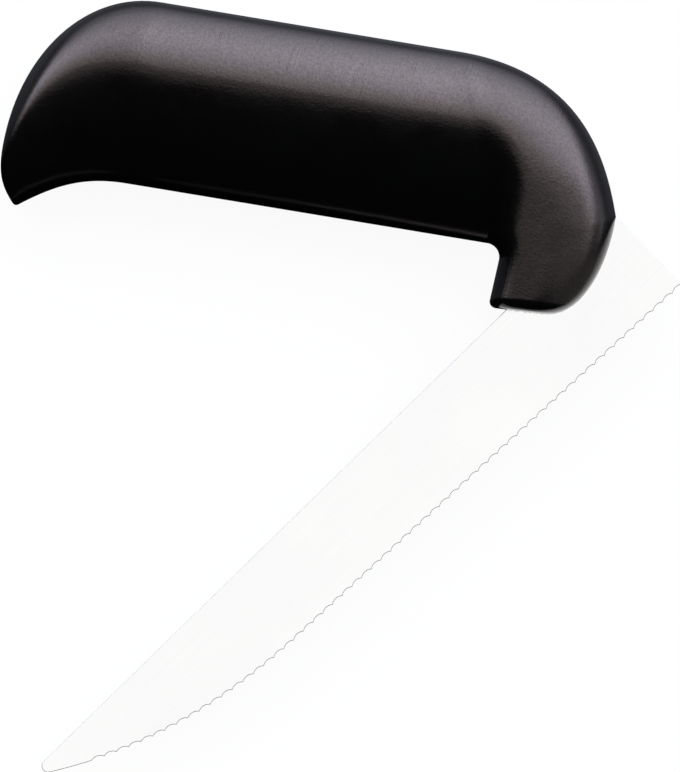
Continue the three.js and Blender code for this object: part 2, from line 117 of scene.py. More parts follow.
def smoothStep(t):
    t = min(max(t, 0.0), 1.0)
    return t * t * (3 - 2 * t)


# skin over closed rings of points, closed at both ends
def loft(rings):
    bm = bmesh.new()
    loop = bmesh.ops.create_circle(bm, segments=len(rings[0]), radius=1)["verts"]
    for i, ring in enumerate(rings):
        if i:
            edges = [bm.edges.get((loop[k - 1], loop[k])) for k in range(len(loop))]
            made = bmesh.ops.extrude_edge_only(bm, edges=edges)["geom"]
            fresh = {v for v in made if isinstance(v, bmesh.types.BMVert)}
            last = loop
            loop = []
            for vert in last:
                across = (e.other_vert(vert) for e in vert.link_edges)
                loop.append(next(v for v in across if v in fresh))
        for vert, spot in zip(loop, ring):
            vert.co = spot
    bmesh.ops.contextual_create(
        bm, geom=[bm.edges.get((loop[k - 1], loop[k])) for k in range(len(loop))]
    )
    bmesh.ops.remove_doubles(bm, verts=bm.verts, dist=weldDistance)
    return bm


def finishMesh(bm, name, toRow, sharpAngle=softAngle):
    bmesh.ops.transform(bm, matrix=toRow, verts=bm.verts)
    bmesh.ops.recalc_face_normals(bm, faces=bm.faces)
    mesh = bpy.data.meshes.new(name)
    bm.to_mesh(mesh)
    bm.free()
    for polygon in mesh.polygons:
        polygon.use_smooth = True
    mesh.set_sharp_from_angle(angle=math.radians(sharpAngle))
    piece = bpy.data.objects.new(name, mesh)
    bpy.context.scene.collection.objects.link(piece)
    return piece


# takes the cutter's volume out of a piece and drops the cutter
def carve(piece, cutter, sharpAngle=softAngle):
    cut = piece.modifiers.new("cut", "BOOLEAN")
    cut.operation = "DIFFERENCE"
    cut.solver = "MANIFOLD"
    cut.object = cutter
    depsgraph = bpy.context.evaluated_depsgraph_get()
    carved = bpy.data.meshes.new_from_object(piece.evaluated_get(depsgraph))
    piece.modifiers.clear()
    old = piece.data
    carved.name = old.name + "Carved"
    piece.data = carved
    bpy.data.meshes.remove(old)
    bpy.data.objects.remove(cutter)
    for polygon in carved.polygons:
        polygon.use_smooth = True
    carved.set_sharp_from_angle(angle=math.radians(sharpAngle))


# handle: two moulded halves, lofted from the hook's tip round the bend to the leg's end
handle = {
    "gripDepth": 37.1,
    "gripThickness": 24.0,
    "fingerSpan": 97.4,
    "hookDrop": 8.2,
    "hookRun": 21.4,
    "hookNose": 0.8,
    "hookOuterAngle": 133.0,
    "hookInnerAngle": 37.0,
    "endReach": 4.35,
    "endReachHeight": 2.7,
    "endRound": 26.8,
    "legWidth": 22.3,
    "legDrop": 12.1,
    "taperAngle": 3.3,  # degrees by which the leg's face falls towards its end
    "taperStart": 25.0,  # height at which that slope sets in
    "taperFull": 12.0,  # and where it is complete
    "taperFrom": -30.0,  # along the grip it comes in from here
    "taperTo": -8.0,
    "bendRound": 36.5,
    "cornerHeight": 9.4,
    "bendBackAngle": -71.5,
    "innerFillet": 2.8,
    "legLean": 0.5,
    "legTipDrop": 0.5,
    "legTipRadius": 1.3,
    "lipRound": 11.0,
    "lipFillet": 2.5,
    "ovalFullness": 0.57,
    "hookFullness": 0.4,
    "bendPalmFullness": 0.68,
    "bendBackFullness": 0.45,
    "softCornerAngle": -80.0,  # the face flows past the corner in this direction
    "softPulls": (23.5, 11.0, 10.0, 7.5),
    "softReach": 5.0,  # how close to the outline the face keeps that flow
    "hookSquareness": 2.3,
    "hookRidge": 0.83,
    "gripSection": (0.64, 1.65, 2.05),  # ridge, squareness on the finger and the palm side
    "cornerSection": (2.3, 2.4),  # squareness only
    "legSection": (2.6, 3.2),
    "legRidge": 4.5,  # the leg's ridge keeps this distance from its finger side
    "legRidgeLimit": 0.5,  # but no more than this share of the width
    "bendFingerPace": 4.0,  # the finger side goes round the inner fillet late in the bend
    "legFingerStart": 0.92,  # and starts down the leg at that pace
    "seam": 0.3,
    "rimChamfer": 0.25,
    "chamferLimit": 0.125,  # share of the width that it may take near the hook's tip
    "arcSteps": 64,
    "stretchSteps": {"end": 80, "grip": 16, "bend": 80, "leg": 70},
    "endCrowding": 1.8,  # rings stand closer towards the hook's tip and the leg's end
}


def handleRails(h):
    level, up = Vector((1, 0)), Vector((0, 1))
    hookTip = Vector((-h["fingerSpan"], -h["hookDrop"]))
    outerOut, innerOut = heading(h["hookOuterAngle"]), heading(h["hookInnerAngle"])
    halfOpening = math.radians(h["hookOuterAngle"] - h["hookInnerAngle"]) / 2
    inset = h["hookNose"] / math.tan(halfOpening)
    middle = (h["hookOuterAngle"] + h["hookInnerAngle"]) / 2
    noseCenter = hookTip + heading(middle) * (h["hookNose"] / math.sin(halfOpening))
    outerStart = hookTip + outerOut * inset
    innerStart = hookTip + innerOut * inset

    widest = Vector((-h["fingerSpan"] - h["endReach"], h["endReachHeight"]))
    palmStart = Vector((widest.x + h["endRound"], h["gripDepth"]))
    palmEnd = Vector((h["legWidth"] - h["bendRound"], h["gripDepth"]))
    fingerStart = Vector((-h["fingerSpan"] + h["hookRun"], 0))
    filletCenter = Vector((h["legLean"] - h["innerFillet"], -h["innerFillet"]))
    corner = Vector((h["legWidth"], h["cornerHeight"]))
    lipEnd = Vector((h["legWidth"] - h["lipRound"], -h["legDrop"]))
    legTip = Vector((0, h["legTipRadius"] - h["legDrop"] - h["legTipDrop"]))
    tipCenter = Vector((h["legTipRadius"], legTip.y))

    hookPull = (h["hookDrop"] + h["endReachHeight"]) * h["hookFullness"]
    endRise = (h["gripDepth"] - h["endReachHeight"]) * h["ovalFullness"]
    endRun = h["endRound"] * h["ovalFullness"]
    fingerPull = h["hookRun"] * h["hookFullness"]
    palmPull = h["bendRound"] * h["bendPalmFullness"]
    backPull = (h["gripDepth"] - h["cornerHeight"]) * h["bendBackFullness"]
    lipDrop = (h["cornerHeight"] + h["legDrop"]) * h["ovalFullness"]
    lipRun = h["lipRound"] * h["ovalFullness"]

    palmRail = {
        "end": arcPoints(noseCenter, h["hookNose"], middle - 180, h["hookOuterAngle"] - 270)
        + roundOff(outerStart, outerOut, widest, up, hookPull, hookPull)
        + roundOff(widest, up, palmStart, level, endRise, endRun),
        "grip": [palmStart, palmEnd],
        "bend": roundOff(palmEnd, level, corner, heading(h["bendBackAngle"]), palmPull, backPull),
        "leg": roundOff(corner, -up, lipEnd, -level, lipDrop, lipRun),
    }
    softCorner = heading(h["softCornerAngle"])
    first, second, third, fourth = h["softPulls"]
    softRail = {
        "end": palmRail["end"],
        "grip": palmRail["grip"],
        "bend": roundOff(palmEnd, level, corner, softCorner, first, second),
        "leg": roundOff(corner, softCorner, lipEnd, -level, third, fourth),
    }
    fingerRail = {
        "end": arcPoints(noseCenter, h["hookNose"], middle - 180, h["hookInnerAngle"] - 90)
        + roundOff(innerStart, innerOut, fingerStart, level, fingerPull, fingerPull),
        "grip": [fingerStart, Vector((filletCenter.x, 0))],
        "bend": arcPoints(filletCenter, h["innerFillet"], 90, 0),
        "leg": [Vector((h["legLean"], -h["innerFillet"]))]
        + arcPoints(tipCenter, h["legTipRadius"], 180, 270),
    }
    return palmRail, softRail, fingerRail


# ridge, squareness and height of the section at a share of one stretch
def sectionShape(h, stretch, t, width):
    grip, corner, leg = h["gripSection"], h["cornerSection"], h["legSection"]
    top = h["gripThickness"] / 2
    blend = smoothStep(t)
    if stretch == "end":
        rise = (1 - (1 - t) ** h["hookSquareness"]) ** (1 / h["hookSquareness"])
        ridge = grip[0] + (h["hookRidge"] - grip[0]) * (1 - t)
        return ridge, grip[1], grip[2], top * rise
    if stretch == "bend":
        slant = h["bendRound"] - h["legWidth"] + h["legLean"] - h["innerFillet"]
        gripRidge = grip[0] * math.hypot(h["gripDepth"], slant)
        ridge = (gripRidge + (h["legRidge"] - gripRidge) * blend) / width
        return ridge, *[a + (b - a) * blend for a, b in zip(grip[1:], corner)], top
    if stretch == "leg":
        ridge = min(h["legRidge"] / width, h["legRidgeLimit"])
        return ridge, *[a + (b - a) * blend for a, b in zip(corner, leg)], top
    return *grip, top


# share of the height that is left where the leg's face slopes down to its end
def legTaper(h, spot):
    below = max(h["taperStart"] - spot.y, 0)
    ramp = h["taperStart"] - h["taperFull"]
    run = below**2 / (2 * ramp) if below < ramp else below - ramp / 2
    share = smoothStep((spot.x - h["taperFrom"]) / (h["taperTo"] - h["taperFrom"]))
    return 1 - math.tan(math.radians(h["taperAngle"])) * run * share / (h["gripThickness"] / 2)


# one closed ring: from the finger rail over the ridge to the palm rail, the flat rim closes it
def handleRing(h, finger, palm, soft, shape):
    ridge, fingerSide, palmSide, top = shape
    rim = h["seam"] / 2
    width = max((palm - finger).length, h["hookNose"])
    chamfer = min(h["rimChamfer"], width * h["chamferLimit"])
    low = min(rim + chamfer, top)
    steps = h["arcSteps"]
    places = [(chamfer / width, rim)]
    for k in range(steps + 1):
        angle = math.pi * k / steps
        towardsFinger = 2 * k < steps
        power = 2 / (fingerSide if towardsFinger else palmSide)
        away = abs(math.cos(angle)) ** power
        rise = 0 if k in (0, steps) else math.sin(angle) ** power
        share = ridge * (1 - away) if towardsFinger else ridge + (1 - ridge) * away
        places.append((share, low + (top - low) * rise))
    places.append((1 - chamfer / width, rim))
    ring = []
    for share, height in places:
        outer = soft + (palm - soft) * share ** h["softReach"]
        spot = finger + (outer - finger) * share
        ring.append(Vector((spot.x, spot.y, rim + (height - rim) * legTaper(h, spot))))
    return ring


def handleRings(h):
    palmRail, softRail, fingerRail = handleRails(h)
    rings = []
    for stretch, count in h["stretchSteps"].items():
        palmAt, _ = measured(palmRail[stretch])
        softAt, _ = measured(softRail[stretch])
        fingerAt, _ = measured(fingerRail[stretch])
        for i in range(1 if rings else 0, count + 1):
            t = i / count
            fingerShare = t
            if stretch == "end":
                t = fingerShare = t ** h["endCrowding"]
            if stretch == "bend":
                fingerShare = t ** h["bendFingerPace"]
            if stretch == "leg":
                t = 1 - (1 - t) ** h["endCrowding"]
                fingerShare = h["legFingerStart"] * t + (1 - h["legFingerStart"]) * t**2
            palm, soft, finger = palmAt(t)[0], softAt(t)[0], fingerAt(fingerShare)[0]
            *shape, top = sectionShape(h, stretch, t, (palm - finger).length)
            toEnd = (palm.y + finger.y + h["legTipDrop"]) / 2 + h["legDrop"]
            if stretch == "leg" and toEnd < h["lipFillet"]:
                short = h["lipFillet"] - max(toEnd, 0)
                top -= h["lipFillet"] - math.sqrt(h["lipFillet"] ** 2 - short**2)
            if not rings:
                top = h["seam"] / 2
            rings.append(handleRing(h, finger, palm, soft, (*shape, top)))
    return rings


def handleHalf(h, name, side, toRow):
    bm = loft(handleRings(h))
    bmesh.ops.scale(bm, vec=(1, 1, side), verts=bm.verts)
    return finishMesh(bm, name, toRow)


shellLow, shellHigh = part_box("handle_front_shell")
gripPlace = Vector(
    (
        shellLow.x + (handle["fingerSpan"] + handle["endReach"]) * mm,
        shellHigh.y - handle["gripDepth"] * mm,
        shellHigh.z - handle["gripThickness"] / 2 * mm,
    )
)
gripToRow = Matrix.Translation(gripPlace) @ Matrix.Scale(mm, 4)

halves = [
    handleHalf(handle, "handleFront", 1, gripToRow),
    handleHalf(handle, "handleRear", -1, gripToRow),
]
for half, node in zip(halves, ("handle_front_shell", "handle_rear_shell")):
    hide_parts(node)
    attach(half, "root")
print("handle: two halves,", len(halves[0].data.polygons), "faces each")


# blade: stamped strip, scallops ground from the rear face
blade = {
    "angle": 53.7,
    "heelInset": 1.6,
    "heelRise": 1.3,
    "thickness": 1.5,
    "length": 160.3,
    "heelWidth": 21.1,
    "bellyLength": 55.3,
    "bellyWidth": 17.8,
    "bellyPull": 25.0,
    "tipPull": 15.3,
    "tipAngle": 31.0,
    "tipRadius": 1.3,
    "toothPitch": 2.65,
    "toothDepth": 0.5,
    "toothSteps": 12,
    "plainTip": 8.0,
    "plainSteps": 12,
    "grindAngle": 20.0,
    "grindLimit": 0.55,  # share of the width that the grind may take near the tip
    "edgeWidth": 0.11,  # dull line along the front outline: the press's sheared edge, its darker grey partly painted shade of the edge
    "edgeDrop": 0.07,
    "tangStart": 2.0,
    "tangWidth": 16.0,
    "tangRise": 24.0,
    "tangCorner": 4.0,
    "cornerSegments": 6,
    "fit": 0.3,  # room round the tang and the pins
    "boreSegments": 48,
    "sharpAngle": 20.0,  # degrees, keeps the grind's edge crisp
    "facetMaterial": 1,  # places among the blade's materials, the flat's is the first
    "lineMaterial": 2,
}
bladeSpot = Vector(
    (handle["legWidth"] - blade["heelInset"], handle["cornerHeight"] + blade["heelRise"], 0)
)
bladeTurn = Matrix.Rotation(math.radians(180 + blade["angle"]), 4, "Z")
bladeToRow = gripToRow @ (Matrix.Translation(bladeSpot) @ bladeTurn)


# flat outline from a few corners, as one face
def flatFace(corners):
    bm = bmesh.new()
    bm.faces.new([bm.verts.new((x, y, 0)) for x, y in corners])
    return bm


# cuts the edge between corners a and b, and lays its points on the given spots in order
def layEdge(bm, a, b, spots):
    bm.verts.ensure_lookup_table()
    before = len(bm.verts)
    edge = bm.edges.get((bm.verts[a], bm.verts[b]))
    bmesh.ops.subdivide_edges(bm, edges=[edge], cuts=len(spots) - 2)
    bm.verts.ensure_lookup_table()
    start = bm.verts[a].co.copy()
    fresh = sorted(range(before, len(bm.verts)), key=lambda i: (bm.verts[i].co - start).length)
    row = [a, *fresh, b]
    for i, spot in zip(row, spots):
        bm.verts[i].co = (spot.x, spot.y, 0)
    return row


# rounds corners of a flat outline, given by their places in its list
def roundCorners(bm, places, radius, segments):
    bm.verts.ensure_lookup_table()
    bmesh.ops.bevel(
        bm, geom=[bm.verts[i] for i in places], affect="VERTICES", offset=radius,
        segments=segments, profile=0.5, material=-1,
    )


# gives the flat outline a thickness about its own plane, and returns the lower points
def thicken(bm, thickness):
    made = bmesh.ops.extrude_face_region(bm, geom=list(bm.faces))["geom"]
    lower = {v for v in made if isinstance(v, bmesh.types.BMVert)}
    for vert in bm.verts:
        vert.co.z = -thickness / 2 if vert in lower else thickness / 2
    return lower


def cuttingEdge(b):
    heel = Vector((0, b["heelWidth"]))
    bend = Vector((b["length"] - b["bellyLength"], b["bellyWidth"]))
    tipCenter = Vector((b["length"] - b["tipRadius"], b["tipRadius"]))
    tip = tipCenter + heading(90 - b["tipAngle"]) * b["tipRadius"]
    run = (bend - heel).normalized()
    belly = roundOff(bend, run, tip, heading(-b["tipAngle"]), b["bellyPull"], b["tipPull"])
    at, length = measured([heel, *belly])
    half = b["toothPitch"] / 2
    hollowRadius = (half**2 + b["toothDepth"] ** 2) / (2 * b["toothDepth"])
    teeth = int((length - b["plainTip"]) / b["toothPitch"])
    places = []
    for i in range(teeth * b["toothSteps"] + 1):
        off = ((i % b["toothSteps"]) / b["toothSteps"] - 0.5) * b["toothPitch"]
        inset = math.sqrt(hollowRadius**2 - off**2) - (hollowRadius - b["toothDepth"])
        places.append((i * b["toothPitch"] / b["toothSteps"], inset))
    plainStart = teeth * b["toothPitch"]
    for i in range(1, b["plainSteps"] + 1):
        places.append((plainStart + (length - plainStart) * i / b["plainSteps"], 0.0))
    grind = b["thickness"] / math.tan(math.radians(b["grindAngle"]))
    front, rear = [], []
    for distance, inset in places:
        spot, run = at(min(distance / length, 1.0))
        inward = Vector((run.y, -run.x))
        edge = spot + inward * inset
        ground = edge + inward * min(grind, b["grindLimit"] * spot.y)
        front.append(Vector((max(edge.x, 0), edge.y)))
        rear.append(Vector((max(ground.x, 0), ground.y)))
    return front, rear, tipCenter


def bladePiece(b, name, toRow):
    front, rear, tipCenter = cuttingEdge(b)
    tangEnd = b["tangStart"] + b["tangWidth"]
    bm = flatFace(
        [
            (0, 0),
            (b["tangStart"], 0),
            (b["tangStart"], -b["tangRise"]),
            (tangEnd, -b["tangRise"]),
            (tangEnd, 0),
            (tipCenter.x, 0),
            (front[-1].x, front[-1].y),
            (0, b["heelWidth"]),
        ]
    )
    tangCorners, tipStart, tipEnd, heel = (2, 3), 5, 6, 7  # places in that list
    tipArc = arcPoints(tipCenter, b["tipRadius"], -90, 90 - b["tipAngle"], b["plainSteps"])
    layEdge(bm, tipStart, tipEnd, tipArc)
    cutting = [bm.verts[i] for i in layEdge(bm, heel, tipEnd, front)]
    roundCorners(bm, tangCorners, b["tangCorner"], b["cornerSegments"])
    lower = thicken(bm, b["thickness"])
    ground = set()
    for vert, spot in zip(cutting, rear):
        below = next(e.other_vert(vert) for e in vert.link_edges if e.other_vert(vert) in lower)
        below.co = (spot.x, spot.y, below.co.z)
        ground.add(below)
    cutting = set(cutting)
    for face in bm.faces:
        if len(face.verts) == 4 and all(v in cutting or v in ground for v in face.verts):
            face.material_index = b["facetMaterial"]
    top = next(f for f in bm.faces if not any(v in lower for v in f.verts))
    rim = bmesh.ops.inset_region(
        bm, faces=[top], thickness=b["edgeWidth"], use_even_offset=True
    )["faces"]
    for vert in {v for face in rim for v in face.verts} - set(top.verts):
        vert.co.z -= b["edgeDrop"]
    # the rim's darker grey is partly painted shade along the outline
    for face in rim:
        face.material_index = b["lineMaterial"]
    return finishMesh(bm, name, toRow, b["sharpAngle"])


bladeStrip = bladePiece(blade, "bladeStrip", bladeToRow)
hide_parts("blade")
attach(bladeStrip, "root")
print("blade:", len(bladeStrip.data.vertices), "vertices")


# room for the tang, open towards the blade
def pocketCutter(h, b, toRow):
    fit, tangEnd = b["fit"], b["tangStart"] + b["tangWidth"]
    reach = h["legDrop"] + h["legWidth"] + b["tangRise"]
    bm = flatFace(
        [
            (-fit, b["heelWidth"]),
            (-fit, -fit),
            (b["tangStart"] - fit, -fit),
            (b["tangStart"] - fit, -b["tangRise"] - fit),
            (tangEnd + fit, -b["tangRise"] - fit),
            (tangEnd + fit, -fit),
            (reach, -fit),
            (reach, b["heelWidth"]),
        ]
    )
    tangCorners = (3, 4)
    roundCorners(bm, tangCorners, b["tangCorner"] + fit, b["cornerSegments"])
    thicken(bm, b["thickness"] + 2 * fit)
    return finishMesh(bm, "pocket", toRow)


# a bore round one pin, taken from the pin's own box
def boreCutter(b, node):
    low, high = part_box(node)
    fit = b["fit"] * mm
    radius = (high.x - low.x) / 2 + fit
    bm = bmesh.new()
    bmesh.ops.create_cone(
        bm, cap_ends=True, segments=b["boreSegments"], radius1=radius, radius2=radius,
        depth=high.z - low.z + 2 * fit,
    )
    return finishMesh(bm, "bore", Matrix.Translation((low + high) / 2))


# materials, and the settings that several of their nodes share
times = {"operation": "MULTIPLY"}
timesPlus = {"operation": "MULTIPLY_ADD"}
smooth = {"interpolation_type": "SMOOTHSTEP"}
colors = {"data_type": "RGBA"}  # a mix of colours has them at sockets 6 and 7, one of values at 2 and 3
black = (0, 0, 0, 1)
white = (1, 1, 1, 1)


def linear(hexColor):
    parts = [int(hexColor[i : i + 2], 16) / 255 for i in (1, 3, 5)]
    return (*[c / 12.92 if c <= 0.04045 else ((c + 0.055) / 1.055) ** 2.4 for c in parts], 1)


def addNode(tree, kind, settings={}, values={}, links={}):
    node = tree.nodes.new(kind)
    for key, value in settings.items():
        setattr(node, key, value)
    for key, value in values.items():
        node.inputs[key].default_value = value
    for key, source in links.items():
        tree.links.new(source, node.inputs[key])
    return node


# what a map range node reads, and what it gives
def limits(source, result=(0, 1)):
    return {"From Min": source[0], "From Max": source[1], "To Min": result[0], "To Max": result[1]}


def newMaterial(name):
    material = bpy.data.materials.new(name)
    material.use_nodes = True
    material.node_tree.nodes.clear()
    return material, material.node_tree


# black ABS, moulded in a finely eroded tool: a satin black whose lights break up into a fine grain,
# a little glossier in rubbed patches, with a few hairline scratches along the leg
handleFinish = {
    "black": "#040505",
    "rubbed": "#060505",
    "roughness": (0.19, 0.14),  # plain and rubbed
    "patch": 9.0,  # mm across
    "patchBand": (0.45, 0.65),  # part of the noise over which a patch turns from plain to rubbed
    "grain": 0.5,  # mm, coarser than the tool's own 0.1 mm so that it shows
    "grainHeight": 0.02,
    "glint": (1.0, 0.835, 0.8),  # colour of its reflections
    "glintLoss": 0.28,  # share of them that the pits of the grain swallow
    "pitBand": (0.3, 0.7),
    "scratchLoss": 0.4,
    "ripple": 2.4,  # mm, sink marks of the mould
    "rippleHeight": 0.02,
    "scratch": (0.2, 9.0, 4.0),  # mm across and along
    "scratchAngle": -8.0,  # degrees
    "scratchDepth": 0.01,
    "scratchShare": (0.72, 0.8),
}
plastic, tree = newMaterial("mouldedBlackAbs")
place = addNode(tree, "ShaderNodeTexCoord")
patches = addNode(
    tree, "ShaderNodeTexNoise", {}, {"Scale": 1 / (handleFinish["patch"] * mm), "Detail": 3},
    {"Vector": place.outputs["Object"]},
)
rubbed = addNode(
    tree, "ShaderNodeMapRange", {}, limits(handleFinish["patchBand"]), {"Value": patches.outputs[0]}
)
grain = addNode(
    tree, "ShaderNodeTexNoise", {}, {"Scale": 1 / (handleFinish["grain"] * mm), "Detail": 2},
    {"Vector": place.outputs["Object"]},
)
ripple = addNode(
    tree, "ShaderNodeTexNoise", {}, {"Scale": 1 / (handleFinish["ripple"] * mm), "Detail": 2},
    {"Vector": place.outputs["Object"]},
)
along = addNode(
    tree, "ShaderNodeMapping", {"vector_type": "TEXTURE"},
    {
        "Rotation": (0, 0, math.radians(handleFinish["scratchAngle"])),
        "Scale": [size * mm for size in handleFinish["scratch"]],
    },
    {"Vector": place.outputs["Object"]},
)
lines = addNode(
    tree, "ShaderNodeTexNoise", {}, {"Scale": 1, "Detail": 0}, {"Vector": along.outputs[0]}
)
scratches = addNode(
    tree, "ShaderNodeMapRange", {}, limits(handleFinish["scratchShare"]), {"Value": lines.outputs[0]}
)
scratches = addNode(
    tree, "ShaderNodeMath", times, {}, {0: scratches.outputs[0], 1: rubbed.outputs[0]}
)
color = addNode(
    tree, "ShaderNodeMix", colors,
    {6: linear(handleFinish["black"]), 7: linear(handleFinish["rubbed"])}, {0: rubbed.outputs[0]},
)
pits = addNode(
    tree, "ShaderNodeMapRange", {},
    limits(handleFinish["pitBand"], (1 - handleFinish["glintLoss"], 1)),
    {"Value": grain.outputs[0]},
)
worn = addNode(
    tree, "ShaderNodeMapRange", {}, limits((0, 1), (1, 1 - handleFinish["scratchLoss"])),
    {"Value": scratches.outputs[0]},
)
kept = addNode(tree, "ShaderNodeMath", times, {}, {0: pits.outputs[0], 1: worn.outputs[0]})
glint = addNode(
    tree, "ShaderNodeMix", colors,
    {6: black, 7: (*handleFinish["glint"], 1)}, {0: kept.outputs[0]},
)
gloss = addNode(
    tree, "ShaderNodeMapRange", {}, limits((0, 1), handleFinish["roughness"]),
    {"Value": rubbed.outputs[0]},
)
bump = addNode(
    tree, "ShaderNodeBump", {}, {"Distance": handleFinish["rippleHeight"] * mm},
    {"Height": ripple.outputs[0]},
)
bump = addNode(
    tree, "ShaderNodeBump", {}, {"Distance": handleFinish["grainHeight"] * mm},
    {"Height": grain.outputs[0], "Normal": bump.outputs[0]},
)
bump = addNode(
    tree, "ShaderNodeBump", {"invert": True}, {"Distance": handleFinish["scratchDepth"] * mm},
    {"Height": scratches.outputs[0], "Normal": bump.outputs[0]},
)
shader = addNode(
    tree, "ShaderNodeBsdfPrincipled", {},
    {"IOR": 1.55, "Specular IOR Level": 0.8},  # a touch glossier than bare ABS, as the photograph shows
    {
        "Base Color": color.outputs[2], "Roughness": gloss.outputs[0], "Normal": bump.outputs[0],
        "Specular Tint": glint.outputs[2],
    },
)
addNode(tree, "ShaderNodeOutputMaterial", {}, {}, {"Surface": shader.outputs[0]})


# stainless steel with the marks of a tool running one way: they stretch and soften its reflections
steelBands = {"shade": (0.1, 0.45), "gloss": (0.3, 0.7)}  # parts of the noise that count


def markedSteel(name, finish):
    material, tree = newMaterial(name)
    place = addNode(tree, "ShaderNodeTexCoord")
    along = addNode(
        tree, "ShaderNodeMapping", {"vector_type": "TEXTURE"},
        {
            "Rotation": (0, 0, math.radians(finish["direction"])),
            "Scale": [size * mm for size in finish["marks"]],
        },
        {"Vector": place.outputs["Object"]},
    )
    marks = addNode(
        tree, "ShaderNodeTexNoise", {}, {"Scale": 1, "Detail": 4, "Roughness": 0.65},
        {"Vector": along.outputs[0]},
    )
    stains = addNode(
        tree, "ShaderNodeTexNoise", {}, {"Scale": 1 / (finish["stain"] * mm), "Detail": 3},
        {"Vector": place.outputs["Object"]},
    )
    both = addNode(tree, "ShaderNodeMath", times, {}, {0: marks.outputs[0], 1: stains.outputs[0]})
    shade = addNode(
        tree, "ShaderNodeMapRange", {}, limits(steelBands["shade"]), {"Value": both.outputs[0]}
    )
    color = addNode(
        tree, "ShaderNodeMix", colors,
        {6: linear(finish["dull"]), 7: linear(finish["bright"])}, {0: shade.outputs[0]},
    )
    gloss = addNode(
        tree, "ShaderNodeMapRange", {}, limits(steelBands["gloss"], finish["roughness"]),
        {"Value": marks.outputs[0]},
    )
    bump = addNode(
        tree, "ShaderNodeBump", {}, {"Distance": finish["depth"] * mm}, {"Height": marks.outputs[0]}
    )
    shader = addNode(
        tree, "ShaderNodeBsdfPrincipled", {}, {"Metallic": 1},
        {"Base Color": color.outputs[2], "Roughness": gloss.outputs[0], "Normal": bump.outputs[0]},
    )
    addNode(tree, "ShaderNodeOutputMaterial", {}, {}, {"Surface": shader.outputs[0]})
    return material


# ground along the blade and buffed: a bright, even flat with faint lines along it, which are in the bump,
# so the roughness stays near zero and the flat shows the plain surround; its near-white colour, brighter
# than steel, is painted light that makes the flat read as brightly lit
satinFlatPaintedBright = {
    "bright": "#fdfdfc",
    "dull": "#f8f8f8",
    "roughness": (0.0, 0.003),
    "direction": blade["angle"],
    "marks": (40.0, 0.4, 1.0),  # mm along and across, coarser than the belt's grit so that it shows
    "depth": 0.014,
    "stain": 18.0,
}
# ground across the edge by the wheel that cuts the teeth: brighter streaks side by side
groundFacet = {
    "bright": "#e4e4e4",
    "dull": "#b9babb",
    "roughness": (0.15, 0.3),
    "direction": blade["angle"] + 90,
    "marks": (12.0, 0.2, 0.5),
    "depth": 0.001,
    "stain": 6.0,
}
# sheared by the press: a dull grey line round the flat, partly the rough sheared steel and partly painted
# shade that draws the outline's shaded edge
shearedLineAndShade = {
    "bright": "#bdbbb6",
    "dull": "#a8a6a2",
    "roughness": (0.4, 0.6),
    "direction": blade["angle"],
    "marks": (1.2, 0.3, 0.3),
    "depth": 0.004,
    "stain": 3.0,
}
# drawn bright along the pin
drawnPin = {
    "bright": "#c4c5c6",
    "dull": "#9a9b9c",
    "roughness": (0.2, 0.35),
    "direction": 0.0,
    "marks": (0.15, 0.15, 8.0),
    "depth": 0.001,
    "stain": 4.0,
}
for half in halves:
    half.data.materials.append(plastic)
# the flat's near-white colour is painted light
bladeStrip.data.materials.append(markedSteel("satinGroundStainless", satinFlatPaintedBright))
bladeStrip.data.materials.append(markedSteel("wheelGroundStainless", groundFacet))
bladeStrip.data.materials.append(markedSteel("shearedStainlessAndShade", shearedLineAndShade))
pinSteel = markedSteel("drawnStainless", drawnPin)
pinNodes = ("tang_pin_lower", "tang_pin_upper")
for node in pinNodes:
    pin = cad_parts[node]
    pin.data.materials.clear()
    pin.data.materials.append(pinSteel)
print("materials:", ", ".join(m.name for m in bpy.data.materials if m.users))

# the cuts come after the materials, so that each face keeps its own
for half in halves:
    carve(half, pocketCutter(handle, blade, bladeToRow))
for node in pinNodes:
    for half in halves:
        carve(half, boreCutter(blade, node))
    carve(bladeStrip, boreCutter(blade, node), blade["sharpAngle"])
print("handle: pocket for the tang and bores for two pins cut")


# pale board to lie on
board = {
    "color": "#f9f7f2",
    "whiteShare": 0.94,  # the camera sees this much pure white, the rest is the lit board with the shadow
    "size": 12.0,  # m
}
floorBm = bmesh.new()
bmesh.ops.create_grid(floorBm, x_segments=1, y_segments=1, size=board["size"])
floorMesh = bpy.data.meshes.new("floor")
floorBm.to_mesh(floorMesh)
floorBm.free()
floor = bpy.data.objects.new("floor", floorMesh)
bpy.context.scene.collection.objects.link(floor)
floor.visible_glossy = False  # the handle's flanks mirror the dark low tunnel, not the board
paper, tree = newMaterial("paleBoard")
shader = addNode(tree, "ShaderNodeBsdfDiffuse", {}, {"Color": linear(board["color"])})
bare = addNode(tree, "ShaderNodeEmission", {}, {"Color": white, "Strength": 1})
rays = addNode(tree, "ShaderNodeLightPath")
shown = addNode(
    tree, "ShaderNodeMath", times, {1: board["whiteShare"]}, {0: rays.outputs["Is Camera Ray"]}
)
mix = addNode(
    tree, "ShaderNodeMixShader", {}, {},
    {0: shown.outputs[0], 1: shader.outputs[0], 2: bare.outputs[0]},
)
addNode(tree, "ShaderNodeOutputMaterial", {}, {}, {"Surface": mix.outputs[0]})
floorMesh.materials.append(paper)


